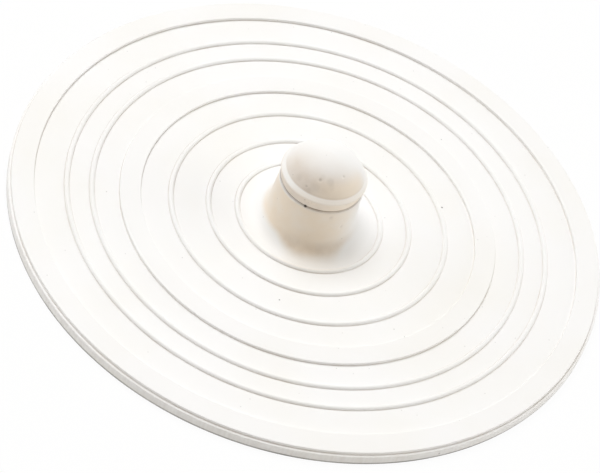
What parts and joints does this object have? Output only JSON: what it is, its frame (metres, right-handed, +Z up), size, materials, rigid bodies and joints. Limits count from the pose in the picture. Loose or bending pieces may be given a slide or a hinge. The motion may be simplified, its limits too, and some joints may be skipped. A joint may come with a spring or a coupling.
{
  "type": "drain stopper",
  "caption": "Flat round rubber drain stopper with concentric ribs, a stepped rim and a domed grip knob pushed into its central stem.",
  "frame": {"origin": "centre of the disc's flat underside, which rests on the drain", "axes": "+Z up along the axis of the disc and knob; the shape is round about it, so +X and +Y are free choices, with +Y away from the picture's camera"},
  "size_m": [0.127, 0.127, 0.022],
  "materials": {
    "disc_rubber": "moulded white rubber, matte with a faint satin sheen",
    "cap_rubber": "moulded white rubber, matte with a faint satin sheen"
  },
  "bodies": {
    "root": {"sealing_disc": "disc_rubber", "knob_cap": "cap_rubber"}
  },
  "joints": []
}
